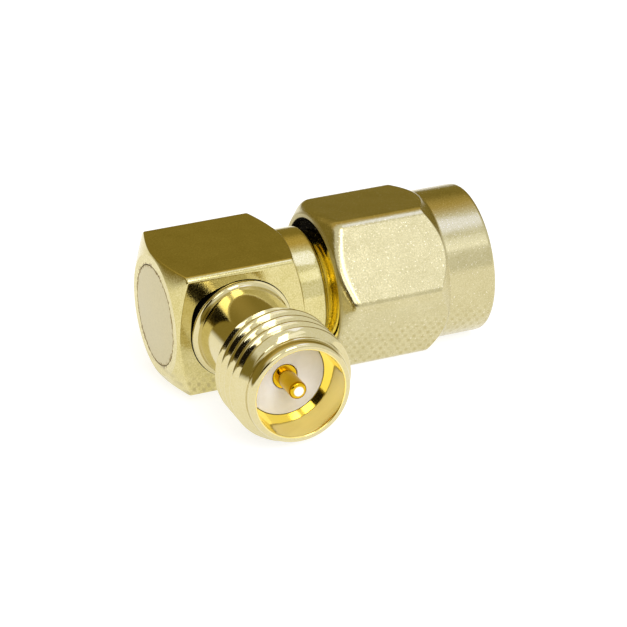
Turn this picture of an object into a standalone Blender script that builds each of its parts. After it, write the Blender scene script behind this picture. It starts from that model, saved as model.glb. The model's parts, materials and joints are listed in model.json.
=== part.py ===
"""Right-angle coaxial adapter: a threaded jack with a centre pin on the front of
an elbow block, and a plug with a loose hexagonal coupling nut on its right side.

The part lies as it does on a table, on one flat of its nut and on the lip of its
jack, so the block is rolled a few degrees about the plug's axis. Sizes are in
millimetres and become metres where a shape is made.
"""

import math

import bmesh
import bpy
from mathutils import Matrix, Vector

MM = 0.001

# Gaps that keep neighbouring pieces apart.
PRESS_GAP = 0.03
SEAM_GAP = 0.05
SLIP_GAP = 0.08
SEAT_GAP = 0.03
TABLE_GAP = 0.01

# Dielectric and centre conductors, the same line through both sides.
DIELECTRIC_DIAMETER = 4.1
DIELECTRIC_SETBACK = 0.35
PIN_DIAMETER = 0.92
PIN_RECESS = 0.3
PIN_NOSE = 0.22
PIN_FIT = 0.03
CONTACT_WALL = 0.145
CONTACT_BORE_DEPTH = 2.4
CONTACT_SLOT = 0.14
CONTACT_SLOT_DEPTH = 1.7
CONTACT_END_WALL = 0.44
TAIL_STEP = 0.08
TAIL_OVERRUN = 0.45
TAIL_NECK = 0.3

# Outer contact of the plug, from its tail in the neck to its tip in the nut.
TAIL_WALL = 0.2
TAIL_DEPTH = 0.55
GROOVE_WALL = 0.47
GROOVE_DEPTH = 0.3
TIP_WALL = 0.2
TIP_LENGTH = 2.3
TIP_EDGE = 0.1

# Rubber gasket on the plug's seat.
GASKET_INSET = 0.05
GASKET_THICKNESS = 0.5
GASKET_EDGE = 0.12

# Threaded jack, whose socket takes a plug tip of the same line.
SOCKET_FIT = 0.02
SOCKET_DEPTH = 2.06
SOCKET_EDGE = 0.06
PILOT_WALL = 0.38
PILOT_LENGTH = 0.55
PILOT_EDGE = 0.08
THREAD_STEP = 0.44
THREAD_LENGTH = 3.17
THREAD_FRONT_LEDGE = 0.02
THREAD_FRONT_TAPER = 0.55
THREAD_BACK_BEVEL = 0.12
JACK_NECK_WALL = 0.34
JACK_NECK_LENGTH = 4.02
COLLAR_FILLET = 0.28
COLLAR_HEIGHT = 0.1
COLLAR_SEAT = 0.8

# Elbow block, with the jack's bore in its front and a round neck on its right.
BLOCK_WALL = 0.56
BLOCK_LEFT_WALL = 0.7
BLOCK_EDGE = 0.08
END_FLAT_INSET = 0.14
END_CONE_SLOPE = 0.45
NECK_WALL = 0.37
NECK_LENGTH = 1.4
NECK_EDGE = 0.12
CAVITY_MARGIN = 0.15

# Cap pressed into the block's left end.
CAP_LEDGE = 0.4
CAP_THICKNESS = 0.66
CAP_EDGE = 0.04

# Split ring that holds the nut, and how far the nut can shift along its axis.
RING_SETBACK = 1.65
RING_WIDTH = 0.4
RING_SPLIT = 1.1
NUT_FLOAT = 0.15
SEAT_BEYOND_RING = 2.2

# Coupling nut.
NUT_WALL = 0.88
NUT_GAP = 0.35
NUT_LENGTH = 8.75
NUT_EDGE = 0.16
NUT_REAR_SLOPE = 0.85
NUT_REAR_WALL = 0.45
NUT_REAR_BORE_DEPTH = 0.55
NUT_SHOULDER_SLOPE = 1.35
NUT_COLLAR_LENGTH = 2.6
NUT_COLLAR_INSET = 0.07
NUT_COLLAR_EDGE = 0.22
NUT_GROOVE_DEPTH = 0.37
NUT_WEB = 1.4
NUT_THREAD_LENGTH = 4.2
NUT_THREAD_DEPTH = 0.25
NUT_THREAD_RELIEF = 0.13

# Diameters, worked out from the middle of the line outwards.
CONTACT_BORE = PIN_DIAMETER + 2 * PIN_FIT
CONTACT_DIAMETER = CONTACT_BORE + 2 * CONTACT_WALL
TAIL_DIAMETER = PIN_DIAMETER - 2 * TAIL_STEP
TAIL_HOLE = TAIL_DIAMETER + 2 * PRESS_GAP
DIELECTRIC_HOLE = DIELECTRIC_DIAMETER + 2 * PRESS_GAP
TIP_DIAMETER = DIELECTRIC_HOLE + 2 * TIP_WALL
GROOVE_FLOOR_DIAMETER = DIELECTRIC_HOLE + 2 * GROOVE_WALL
FERRULE_DIAMETER = GROOVE_FLOOR_DIAMETER + 2 * GROOVE_DEPTH
GASKET_DIAMETER = FERRULE_DIAMETER - 2 * GASKET_INSET
SOCKET_DIAMETER = TIP_DIAMETER + 2 * SOCKET_FIT
PILOT_DIAMETER = SOCKET_DIAMETER + 2 * PILOT_WALL
THREAD_DIAMETER = PILOT_DIAMETER + 2 * THREAD_STEP
JACK_NECK_DIAMETER = DIELECTRIC_HOLE + 2 * JACK_NECK_WALL
COLLAR_DIAMETER = JACK_NECK_DIAMETER + 2 * COLLAR_FILLET
COLLAR_HOLE = COLLAR_DIAMETER + 2 * SEAM_GAP
BLOCK_WIDTH = COLLAR_HOLE + 2 * BLOCK_WALL
END_FLAT_DIAMETER = BLOCK_WIDTH - 2 * END_FLAT_INSET
FERRULE_HOLE = FERRULE_DIAMETER + 2 * PRESS_GAP
NECK_DIAMETER = FERRULE_HOLE + 2 * NECK_WALL
CAVITY_DIAMETER = DIELECTRIC_DIAMETER + 2 * CAVITY_MARGIN
CAP_DIAMETER = CAVITY_DIAMETER + 2 * CAP_LEDGE
NUT_FLATS = THREAD_DIAMETER + 2 * NUT_WALL
NUT_BORE = FERRULE_DIAMETER + 2 * SLIP_GAP
NUT_RING_GROOVE_DIAMETER = NUT_BORE + 2 * NUT_GROOVE_DEPTH
NUT_REAR_BORE = NUT_FLATS - 2 * NUT_REAR_WALL
NUT_COLLAR_DIAMETER = NUT_FLATS - 2 * NUT_COLLAR_INSET
NUT_THREAD_DIAMETER = THREAD_DIAMETER - 2 * NUT_THREAD_DEPTH
NUT_RELIEF_DIAMETER = THREAD_DIAMETER + 2 * NUT_THREAD_RELIEF

# Stations along the jack, from the crossing of its axis and the plug's.
BLOCK_FACE = BLOCK_WIDTH / 2
COLLAR_TOP = BLOCK_FACE + COLLAR_HEIGHT
COLLAR_FLOOR = BLOCK_FACE - COLLAR_SEAT
THREAD_BACK = COLLAR_TOP + JACK_NECK_LENGTH
THREAD_FRONT = THREAD_BACK + THREAD_LENGTH
JACK_FRONT = THREAD_FRONT + PILOT_LENGTH
SOCKET_FLOOR = JACK_FRONT - SOCKET_DEPTH

# Stations along the plug, from the same crossing.
BLOCK_LEFT = -COLLAR_HOLE / 2 - BLOCK_LEFT_WALL
FERRULE_TAIL = COLLAR_HOLE / 2 + TAIL_WALL
BLOCK_RIGHT = FERRULE_TAIL + TAIL_DEPTH
NECK_END = BLOCK_RIGHT + NECK_LENGTH
NUT_REAR = NECK_END + NUT_GAP
NUT_FRONT = NUT_REAR + NUT_LENGTH
RING_CENTRE = NUT_REAR + RING_SETBACK
FERRULE_SEAT = RING_CENTRE + SEAT_BEYOND_RING
TIP_END = FERRULE_SEAT + TIP_LENGTH
CONTACT_END = -TAIL_HOLE / 2 - CONTACT_END_WALL
NUT_CAVITY_START = RING_CENTRE + NUT_WEB
NUT_THREAD_START = NUT_FRONT - NUT_THREAD_LENGTH
NUT_SHOULDER = NUT_FRONT - NUT_COLLAR_LENGTH

# Facets around the large and the small turned pieces.
LARGE_STEPS = 80
SMALL_STEPS = 48
FINE_STEPS = 32

# A cutter runs this far past the material that it opens.
OVERRUN = 1.0

BRASS = (0.72, 0.58, 0.27, 1.0)
DEEP_BRASS = (0.74, 0.53, 0.16, 1.0)
WHITE_RESIN = (0.86, 0.85, 0.80, 1.0)
RED_RUBBER = (0.42, 0.09, 0.04, 1.0)


def clear_scene():
    for obj in list(bpy.data.objects):
        bpy.data.objects.remove(obj, do_unlink=True)


def new_collection(name):
    collection = bpy.data.collections.new(name)
    bpy.context.scene.collection.children.link(collection)
    return collection


def new_material(name, colour, metallic, roughness):
    material = bpy.data.materials.new(name)
    material.use_nodes = True
    shader = material.node_tree.nodes["Principled BSDF"]
    shader.inputs["Base Color"].default_value = colour
    shader.inputs["Metallic"].default_value = metallic
    shader.inputs["Roughness"].default_value = roughness
    material.diffuse_color = colour
    return material


def new_empty(name, collection, parent=None):
    empty = bpy.data.objects.new(name, None)
    empty.empty_display_size = 2 * MM
    empty.parent = parent
    collection.objects.link(empty)
    return empty


def place(mesh, name, collection, parent):
    obj = bpy.data.objects.new(name, mesh)
    obj.parent = parent
    collection.objects.link(obj)
    return obj


def turned(name, profile, steps, collection, parent):
    """Revolve (radius, height) points about the parent's Z axis.

    The profile runs down the outer side. It is closed on itself unless both of
    its ends lie on the axis.
    """
    points = [(radius * MM, 0.0, height * MM) for radius, height in profile]
    edges = [(i, i + 1) for i in range(len(points) - 1)]
    if profile[0][0] > 0 or profile[-1][0] > 0:
        edges.append((len(points) - 1, 0))
    mesh = bpy.data.meshes.new(name)
    mesh.from_pydata(points, edges, [])
    obj = place(mesh, name, collection, parent)
    screw = obj.modifiers.new("Turn", "SCREW")
    screw.axis = "Z"
    screw.angle = math.tau
    screw.steps = steps
    screw.render_steps = steps
    screw.use_merge_vertices = True
    screw.merge_threshold = 0.000001
    return obj


def prism(name, sides, across_flats, bottom, top, collection, parent):
    """Regular prism about the parent's Z axis, with two flats facing along X."""
    mesh = bpy.data.meshes.new(name)
    shape = bmesh.new()
    radius = across_flats / 2 / math.cos(math.pi / sides) * MM
    bmesh.ops.create_cone(
        shape,
        cap_ends=True,
        segments=sides,
        radius1=radius,
        radius2=radius,
        depth=(top - bottom) * MM,
        matrix=Matrix.Translation((0, 0, (top + bottom) / 2 * MM)),
    )
    shape.to_mesh(mesh)
    shape.free()
    return place(mesh, name, collection, parent)


def box(name, low, high, collection, parent):
    mesh = bpy.data.meshes.new(name)
    shape = bmesh.new()
    low = Vector(low) * MM
    high = Vector(high) * MM
    size = Matrix.Diagonal((*(high - low), 1))
    middle = Matrix.Translation((low + high) / 2)
    bmesh.ops.create_cube(shape, size=1, matrix=middle @ size)
    shape.to_mesh(mesh)
    shape.free()
    return place(mesh, name, collection, parent)


def bevel(obj, width, segments):
    modifier = obj.modifiers.new("Soft edges", "BEVEL")
    modifier.width = width * MM
    modifier.segments = segments
    modifier.limit_method = "ANGLE"
    modifier.angle_limit = math.radians(40)


def combine(obj, other, operation):
    modifier = obj.modifiers.new(operation.title(), "BOOLEAN")
    modifier.operation = operation
    modifier.solver = "EXACT"
    modifier.object = other
    other.hide_render = True
    other.display_type = "WIRE"


def arc(centre, radius, start, end, count):
    """Points along an arc in the profile plane, with angles in degrees."""
    points = []
    for i in range(count + 1):
        angle = math.radians(start + (end - start) * i / count)
        across = centre[0] + radius * math.cos(angle)
        along = centre[1] + radius * math.sin(angle)
        points.append((across, along))
    return points


def finish(obj, material):
    """Turn the modifiers' result into the object's own smooth-shaded mesh."""
    graph = bpy.context.evaluated_depsgraph_get()
    mesh = bpy.data.meshes.new_from_object(obj.evaluated_get(graph))
    mesh.name = obj.name
    obj.modifiers.clear()
    obj.data = mesh
    mesh.materials.clear()
    mesh.materials.append(material)
    mesh.shade_smooth()
    mesh.set_sharp_from_angle(angle=math.radians(28))


def roll_onto_lip():
    """Angle about the plug's axis at which the jack's thread meets the table."""
    height = NUT_FLATS / 2 - TABLE_GAP
    along = THREAD_FRONT - THREAD_FRONT_TAPER
    across = THREAD_DIAMETER / 2
    return math.asin(height / math.hypot(along, across)) - math.atan2(across, along)


def make_block(parts, cutters, frame, plug_axis, jack_axis):
    half = BLOCK_WIDTH / 2
    corner = half * math.sqrt(2) + OVERRUN
    end_radius = END_FLAT_DIAMETER / 2
    neck_radius = NECK_DIAMETER / 2

    body = box(
        "elbow_body",
        (BLOCK_LEFT - OVERRUN, -half, -half),
        (BLOCK_RIGHT + OVERRUN, half, half),
        parts,
        frame,
    )
    bevel(body, BLOCK_EDGE, 1)

    # Both ends of the square block are turned to shallow cones.
    ends = [
        (0, BLOCK_RIGHT),
        (neck_radius, BLOCK_RIGHT),
        (corner, BLOCK_RIGHT - (corner - neck_radius) * END_CONE_SLOPE),
        (corner, BLOCK_LEFT + (corner - end_radius) * END_CONE_SLOPE),
        (end_radius, BLOCK_LEFT),
        (0, BLOCK_LEFT),
    ]
    combine(body, turned("block_ends", ends, LARGE_STEPS, cutters, plug_axis), "INTERSECT")

    neck = [
        (0, NECK_END),
        (neck_radius - NECK_EDGE, NECK_END),
        (neck_radius, NECK_END - NECK_EDGE),
        (neck_radius, BLOCK_RIGHT - NECK_EDGE),
        (0, BLOCK_RIGHT - NECK_EDGE),
    ]
    combine(body, turned("neck_blank", neck, LARGE_STEPS, cutters, plug_axis), "UNION")

    # One stepped bore takes the ferrule's tail, forms the cavity and takes the cap.
    cap_floor = BLOCK_LEFT + CAP_THICKNESS + SEAT_GAP
    tail_floor = FERRULE_TAIL - SEAT_GAP
    ferrule_hole = FERRULE_HOLE / 2
    cavity = CAVITY_DIAMETER / 2
    cap_hole = CAP_DIAMETER / 2 + SEAM_GAP
    bore = [
        (0, NECK_END + OVERRUN),
        (ferrule_hole, NECK_END + OVERRUN),
        (ferrule_hole, tail_floor),
        (cavity, tail_floor),
        (cavity, cap_floor),
        (cap_hole, cap_floor),
        (cap_hole, BLOCK_LEFT - OVERRUN),
        (0, BLOCK_LEFT - OVERRUN),
    ]
    combine(body, turned("plug_bore", bore, SMALL_STEPS, cutters, plug_axis), "DIFFERENCE")

    collar_hole = COLLAR_HOLE / 2
    dielectric_hole = DIELECTRIC_HOLE / 2
    cross = [
        (0, BLOCK_FACE + OVERRUN),
        (collar_hole, BLOCK_FACE + OVERRUN),
        (collar_hole, COLLAR_FLOOR),
        (dielectric_hole, COLLAR_FLOOR),
        (dielectric_hole, 0),
        (0, 0),
    ]
    combine(body, turned("jack_bore", cross, SMALL_STEPS, cutters, jack_axis), "DIFFERENCE")
    return body


def make_cap(parts, plug_axis):
    radius = CAP_DIAMETER / 2
    inner = BLOCK_LEFT + CAP_THICKNESS
    profile = [
        (0, inner),
        (radius, inner),
        (radius, BLOCK_LEFT + CAP_EDGE),
        (radius - CAP_EDGE, BLOCK_LEFT),
        (0, BLOCK_LEFT),
    ]
    return turned("end_cap", profile, SMALL_STEPS, parts, plug_axis)


def make_barrel(parts, jack_axis):
    pilot = PILOT_DIAMETER / 2
    thread = THREAD_DIAMETER / 2
    neck = JACK_NECK_DIAMETER / 2
    collar = COLLAR_DIAMETER / 2
    socket = SOCKET_DIAMETER / 2
    bore = DIELECTRIC_HOLE / 2
    foot = COLLAR_FLOOR + SEAT_GAP

    # A hollow fillet runs from the neck out to the collar on the block's face.
    flare = arc((collar, COLLAR_TOP + COLLAR_FILLET), COLLAR_FILLET, 180, 270, 6)
    profile = [
        (pilot - PILOT_EDGE, JACK_FRONT),
        (pilot, JACK_FRONT - PILOT_EDGE),
        (pilot, THREAD_FRONT),
        (pilot + THREAD_FRONT_LEDGE, THREAD_FRONT),
        (thread, THREAD_FRONT - THREAD_FRONT_TAPER),
        (thread, THREAD_BACK + THREAD_BACK_BEVEL),
        (thread - THREAD_BACK_BEVEL, THREAD_BACK),
        (neck, THREAD_BACK),
        *flare,
        (collar, foot),
        (bore, foot),
        (bore, SOCKET_FLOOR),
        (socket, SOCKET_FLOOR),
        (socket, JACK_FRONT - SOCKET_EDGE),
        (socket + SOCKET_EDGE, JACK_FRONT),
    ]
    return turned("jack_barrel", profile, LARGE_STEPS, parts, jack_axis)


def make_dielectric(name, front, parts, axis):
    """Sleeve around a centre conductor, set back from the other side's sleeve."""
    outer = DIELECTRIC_DIAMETER / 2
    back = outer + DIELECTRIC_SETBACK
    inner = CONTACT_DIAMETER / 2 + PRESS_GAP
    profile = [(outer, front), (outer, back), (inner, back), (inner, front)]
    return turned(name, profile, SMALL_STEPS, parts, axis)


def make_pin(parts, jack_axis):
    pin = PIN_DIAMETER / 2
    contact = CONTACT_DIAMETER / 2
    tail = TAIL_DIAMETER / 2
    top = JACK_FRONT - PIN_RECESS
    tail_start = contact + TAIL_NECK

    # The nose is a quarter round between a small flat and the pin's side.
    nose = arc((pin - PIN_NOSE, top - PIN_NOSE), PIN_NOSE, 90, 0, 4)
    profile = [
        (0, top),
        *nose,
        (pin, SOCKET_FLOOR),
        (contact, SOCKET_FLOOR),
        (contact, tail_start),
        (tail, tail_start),
        (tail, -TAIL_OVERRUN),
        (0, -TAIL_OVERRUN),
    ]
    return turned("jack_pin", profile, FINE_STEPS, parts, jack_axis)


def make_ferrule(parts, plug_axis):
    outer = FERRULE_DIAMETER / 2
    tip = TIP_DIAMETER / 2
    groove = GROOVE_FLOOR_DIAMETER / 2
    bore = DIELECTRIC_HOLE / 2
    reach = RING_WIDTH / 2 + NUT_FLOAT + SLIP_GAP
    profile = [
        (tip - TIP_EDGE, TIP_END),
        (tip, TIP_END - TIP_EDGE),
        (tip, FERRULE_SEAT),
        (outer, FERRULE_SEAT),
        (outer, RING_CENTRE + reach),
        (groove, RING_CENTRE + reach),
        (groove, RING_CENTRE - reach),
        (outer, RING_CENTRE - reach),
        (outer, FERRULE_TAIL),
        (bore, FERRULE_TAIL),
        (bore, TIP_END),
    ]
    return turned("plug_ferrule", profile, LARGE_STEPS, parts, plug_axis)


def make_socket_contact(parts, cutters, plug_axis, jack_axis):
    """Centre contact: a slotted socket in front and a cross hole for the pin."""
    contact = CONTACT_DIAMETER / 2
    bore = CONTACT_BORE / 2
    floor = TIP_END - CONTACT_BORE_DEPTH
    profile = [
        (0, floor),
        (bore, floor),
        (bore, TIP_END),
        (contact, TIP_END),
        (contact, CONTACT_END),
        (0, CONTACT_END),
    ]
    obj = turned("plug_contact", profile, FINE_STEPS, parts, plug_axis)

    half_slot = CONTACT_SLOT / 2
    for name, across, side in (
        ("slot_upright", half_slot, OVERRUN),
        ("slot_level", OVERRUN, half_slot),
    ):
        low = (-across, -side, TIP_END - CONTACT_SLOT_DEPTH)
        high = (across, side, TIP_END + OVERRUN)
        combine(obj, box(name, low, high, cutters, plug_axis), "DIFFERENCE")

    hole = TAIL_HOLE / 2
    drill = [(0, OVERRUN), (hole, OVERRUN), (hole, -OVERRUN), (0, -OVERRUN)]
    combine(obj, turned("tail_hole", drill, FINE_STEPS, cutters, jack_axis), "DIFFERENCE")
    return obj


def make_gasket(parts, plug_axis):
    outer = GASKET_DIAMETER / 2
    inner = TIP_DIAMETER / 2 + PRESS_GAP
    low = FERRULE_SEAT + SEAT_GAP
    high = low + GASKET_THICKNESS
    profile = [
        (outer - GASKET_EDGE, high),
        (outer, high - GASKET_EDGE),
        (outer, low + GASKET_EDGE),
        (outer - GASKET_EDGE, low),
        (inner, low),
        (inner, high),
    ]
    return turned("gasket", profile, SMALL_STEPS, parts, plug_axis)


def make_ring(parts, cutters, nut_axis):
    outer = NUT_RING_GROOVE_DIAMETER / 2 - SLIP_GAP
    inner = GROOVE_FLOOR_DIAMETER / 2 + SLIP_GAP
    low = RING_CENTRE - RING_WIDTH / 2
    high = RING_CENTRE + RING_WIDTH / 2
    profile = [(outer, high), (outer, low), (inner, low), (inner, high)]
    obj = turned("retaining_ring", profile, SMALL_STEPS, parts, nut_axis)

    # The ring is split on its upper side, so that it can be squeezed into place.
    split = box(
        "ring_split",
        (-outer - OVERRUN, -RING_SPLIT / 2, low - OVERRUN),
        (0, RING_SPLIT / 2, high + OVERRUN),
        cutters,
        nut_axis,
    )
    combine(obj, split, "DIFFERENCE")
    return obj


def make_nut(parts, cutters, nut_axis):
    nut = prism(
        "coupling_nut",
        6,
        NUT_FLATS,
        NUT_REAR - OVERRUN,
        NUT_FRONT + OVERRUN,
        parts,
        nut_axis,
    )
    bevel(nut, NUT_EDGE, 2)

    # The turned outside: a rear cone, a front shoulder cone and a round collar.
    corner = NUT_FLATS / math.sqrt(3) + OVERRUN
    rear_flat = NUT_FLATS / 2
    collar = NUT_COLLAR_DIAMETER / 2
    rounding = arc(
        (collar - NUT_COLLAR_EDGE, NUT_FRONT - NUT_COLLAR_EDGE),
        NUT_COLLAR_EDGE,
        90,
        0,
        3,
    )
    outside = [
        (0, NUT_FRONT),
        *rounding,
        (collar, NUT_SHOULDER),
        (corner, NUT_SHOULDER - (corner - collar) * NUT_SHOULDER_SLOPE),
        (corner, NUT_REAR + (corner - rear_flat) * NUT_REAR_SLOPE),
        (rear_flat, NUT_REAR),
        (0, NUT_REAR),
    ]
    combine(nut, turned("nut_outside", outside, LARGE_STEPS, cutters, nut_axis), "INTERSECT")

    bore = NUT_BORE / 2
    rear_bore = NUT_REAR_BORE / 2
    thread = NUT_THREAD_DIAMETER / 2
    relief = NUT_RELIEF_DIAMETER / 2
    groove = NUT_RING_GROOVE_DIAMETER / 2
    groove_reach = RING_WIDTH / 2 + SEAT_GAP
    rear_floor = NUT_REAR + NUT_REAR_BORE_DEPTH
    inside = [
        (0, NUT_FRONT + OVERRUN),
        (relief, NUT_FRONT + OVERRUN),
        (relief, NUT_FRONT),
        (thread, NUT_FRONT - (relief - thread)),
        (thread, NUT_THREAD_START),
        (relief, NUT_THREAD_START),
        (relief, NUT_CAVITY_START),
        (bore, NUT_CAVITY_START),
        (bore, RING_CENTRE + groove_reach),
        (groove, RING_CENTRE + groove_reach),
        (groove, RING_CENTRE - groove_reach),
        (bore, RING_CENTRE - groove_reach),
        (bore, rear_floor),
        (rear_bore, rear_floor),
        (rear_bore, NUT_REAR - OVERRUN),
        (0, NUT_REAR - OVERRUN),
    ]
    combine(nut, turned("nut_inside", inside, LARGE_STEPS, cutters, nut_axis), "DIFFERENCE")
    return nut


def centre_on_base(stand, objects):
    """Move the stand so that the part's box is centred over the origin."""
    bpy.context.view_layer.update()
    corners = [obj.matrix_world @ vertex.co for obj in objects for vertex in obj.data.vertices]
    for axis in (0, 1):
        values = [corner[axis] for corner in corners]
        stand.location[axis] -= (min(values) + max(values)) / 2


def main():
    clear_scene()
    parts = new_collection("coax_adapter")
    cutters = new_collection("cutters")
    cutters.hide_render = True

    gold = new_material("gold_plated_brass", BRASS, 1.0, 0.28)
    deep_gold = new_material("gold_plated_contact", DEEP_BRASS, 1.0, 0.2)
    resin = new_material("white_dielectric", WHITE_RESIN, 0.0, 0.5)
    rubber = new_material("gasket_rubber", RED_RUBBER, 0.0, 0.7)

    # The nut's axis is level, half the nut's width above the table.
    stand = new_empty("stand", parts)
    stand.location = (0, 0, NUT_FLATS / 2 * MM)
    elbow_frame = new_empty("elbow_frame", parts, stand)
    elbow_frame.rotation_euler = (roll_onto_lip(), 0, 0)
    plug_axis = new_empty("plug_axis", parts, elbow_frame)
    plug_axis.rotation_euler = (0, math.radians(90), 0)
    jack_axis = new_empty("jack_axis", parts, elbow_frame)
    jack_axis.rotation_euler = (math.radians(90), 0, 0)
    nut_axis = new_empty("nut_axis", parts, stand)
    nut_axis.rotation_euler = (0, math.radians(90), 0)

    pieces = [
        (make_block(parts, cutters, elbow_frame, plug_axis, jack_axis), gold),
        (make_cap(parts, plug_axis), gold),
        (make_barrel(parts, jack_axis), gold),
        (make_dielectric("jack_insulator", SOCKET_FLOOR, parts, jack_axis), resin),
        (make_pin(parts, jack_axis), deep_gold),
        (make_ferrule(parts, plug_axis), gold),
        (make_dielectric("plug_insulator", TIP_END, parts, plug_axis), resin),
        (make_socket_contact(parts, cutters, plug_axis, jack_axis), deep_gold),
        (make_gasket(parts, plug_axis), rubber),
        (make_ring(parts, cutters, nut_axis), gold),
        (make_nut(parts, cutters, nut_axis), gold),
    ]
    bpy.context.view_layer.update()
    for obj, material in pieces:
        finish(obj, material)
    centre_on_base(stand, [obj for obj, _ in pieces])


main()
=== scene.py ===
import json
import math

import bmesh
import bpy
from mathutils import Matrix, Quaternion, Vector


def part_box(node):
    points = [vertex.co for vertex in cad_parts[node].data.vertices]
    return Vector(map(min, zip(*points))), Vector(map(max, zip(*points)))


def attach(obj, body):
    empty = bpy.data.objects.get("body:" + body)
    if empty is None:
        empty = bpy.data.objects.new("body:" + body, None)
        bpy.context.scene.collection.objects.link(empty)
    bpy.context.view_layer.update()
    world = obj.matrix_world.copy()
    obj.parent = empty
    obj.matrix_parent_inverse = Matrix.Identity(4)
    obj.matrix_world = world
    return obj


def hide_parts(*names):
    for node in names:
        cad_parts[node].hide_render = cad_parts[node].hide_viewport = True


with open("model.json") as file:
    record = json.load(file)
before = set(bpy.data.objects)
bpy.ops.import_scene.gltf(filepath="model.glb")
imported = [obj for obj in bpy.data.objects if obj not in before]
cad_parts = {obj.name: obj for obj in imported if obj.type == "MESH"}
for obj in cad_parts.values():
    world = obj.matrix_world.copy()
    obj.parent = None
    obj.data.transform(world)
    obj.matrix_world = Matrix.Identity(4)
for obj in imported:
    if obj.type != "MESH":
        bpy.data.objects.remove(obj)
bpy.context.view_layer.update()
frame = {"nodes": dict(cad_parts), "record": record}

# Sizes are in millimetres, and MM turns them into the scene's metres.
MM = 0.001

# Meshes: how far an arc reaches, what is joined, sharp or flat, and how fine the turning is.
ARC_LIMIT = 0.48
ROOMY_LIMIT = 0.75
FINE_ARC = 6
JOINED = 0.0004
COLLAPSED = 0.0002
SHARP_ANGLE = math.radians(32)
FLAT_MATCH = 0.9999
NEAR_MATCH = 0.9
LARGE_STEPS = 192
SMALL_STEPS = 96

# Elbow block and its cap.
BLOCK_SIDES = 4
BLOCK_WIDTH = 6.62
BLOCK_LEFT = -3.45
BLOCK_RIGHT = 3.5
BLOCK_CORNER = 0.3
BLOCK_SOFTEN = 0.15
BLOCK_PER_FLAT = 40
BLOCK_PER_CORNER = 8
END_FLAT_DIAMETER = 6.34
END_CONE_SLOPE = 0.45
END_FLAT_EDGE = 0.03
NECK_DIAMETER = 6.5
NECK_END = 4.9
NECK_EDGE = 0.45
FERRULE_HOLE = 5.76
FERRULE_HOLE_EDGE = 0.04
FERRULE_FLOOR = 2.92
CAVITY_DIAMETER = 4.4
RECESS_DIAMETER = 5.3
RECESS_FLOOR = -2.76
RECESS_EDGE = 0.02
CAP_DIAMETER = 5.295
CAP_INNER = -2.79
CAP_EDGE = 0.03
CAP_WAVE = 0.04
CAP_WAVE_SEED = 2.3

# Jack, measured from the crossing of the two axes.
JACK_FRONT = 11.15
PILOT_DIAMETER = 5.36
PILOT_EDGE = 0.34
THREAD_DIAMETER = 6.24
THREAD_FRONT = 10.6
THREAD_BACK = 7.43
THREAD_TAPER = 0.5
THREAD_TAPER_DIAMETER = 5.38
THREAD_BACK_DIAMETER = 5.9
THREAD_DEPTH = 0.4
THREAD_SOFTEN = 0.1
THREAD_PITCH = 25.4 / 36
THREAD_PHASE = 0.85
THREAD_ROWS_PER_TURN = 24
TURNS_BELOW = 2
TURNS_ABOVE = 1
CREST_SHARE = 1 / 5
CREST_ROUNDING = 0.35
ROOT_SHARE = 1 / 8
JACK_NECK_DIAMETER = 4.84
COLLAR_DIAMETER = 5.4
COLLAR_TOP = 3.41
COLLAR_LIP = 0.03
COLLAR_FLARE_STEPS = 8
COLLAR_FOOT = 2.54
COLLAR_HOLE_FLOOR = 2.51
HOLE_GAP = 0.003
HOLE_WAVE = 0.014
HOLE_WAVE_SEED = 1.0
HOLE_EDGE = 0.03
HOLE_OVERRUN = 1
CRESCENT_WIDTH = 0.26
CRESCENT_ANGLE = math.radians(52)
CRESCENT_SPREAD = 0.33
SOCKET_DIAMETER = 4.6
SOCKET_FLOOR = 9.09
SOCKET_EDGE = 0.1
DIELECTRIC_HOLE = 4.16

# Dielectric and centre conductors.
DIELECTRIC_DIAMETER = 4.1
DIELECTRIC_BACK = 2.4
SLEEVE_INNER_EDGE = 0.03
SLEEVE_OUTER_EDGE = 0.04
CONTACT_DIAMETER = 1.27
CONTACT_HOLE = 1.33
CONTACT_EDGE = 0.05
PIN_DIAMETER = 0.92
PIN_TOP = 10.85
PIN_NOSE = 0.22
TAIL_DIAMETER = 0.76
TAIL_START = 0.935
TAIL_END = -0.45

# Outer contact of the plug.
TIP_DIAMETER = 4.56
TIP_EDGE = 0.08
TIP_END = 11.4
FERRULE_DIAMETER = 5.7
FERRULE_SEAT = 9.1
FERRULE_SEAT_EDGE = 0.05
FERRULE_BORE_EDGE = 0.02
FERRULE_TAIL = 2.95
GROOVE_DIAMETER = 5.1
GROOVE_LOW = 6.47
GROOVE_HIGH = 7.33
GASKET_DIAMETER = 5.6
GASKET_HOLE = 4.62
GASKET_LOW = 9.13
GASKET_HIGH = 9.63
GASKET_INNER_EDGE = 0.08
GASKET_OUTER_EDGE = 0.16

# Coupling nut.
NUT_SIDES = 6
NUT_FLATS = 8.0
NUT_CORNER = 0.7
NUT_SOFTEN = 0.12
NUT_SHOULDER_SOFTEN = 0.24
NUT_REAR_SOFTEN = 0.85
NUT_REAR_EDGE = 0.04
NUT_MOUTH_SOFTEN = 0.3
NUT_REAR = 5.25
NUT_FRONT = 14.0
NUT_REAR_FLAT_DIAMETER = 7.55
NUT_REAR_SLOPE = 0.68
NUT_SHOULDER = 11.4
NUT_SHOULDER_SLOPE = 1.35
NUT_COLLAR_DIAMETER = 7.86
NUT_COLLAR_EDGE = 0.22
NUT_REAR_BORE = 6.95
NUT_REAR_FLOOR = 5.6
NUT_BORE = 5.86
NUT_BORE_EDGE = 0.05
NUT_GROOVE_DIAMETER = 6.6
NUT_GROOVE_LOW = 6.67
NUT_GROOVE_HIGH = 7.13
NUT_CAVITY_START = 8.3
NUT_THREAD_START = 9.8
NUT_THREAD_DIAMETER = 5.74
NUT_RELIEF_DIAMETER = 6.5
NUT_THREAD_PHASE = 0.3
NUT_THREAD_DEPTH = 0.34
NUT_THREAD_SOFTEN = 0.04
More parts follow.
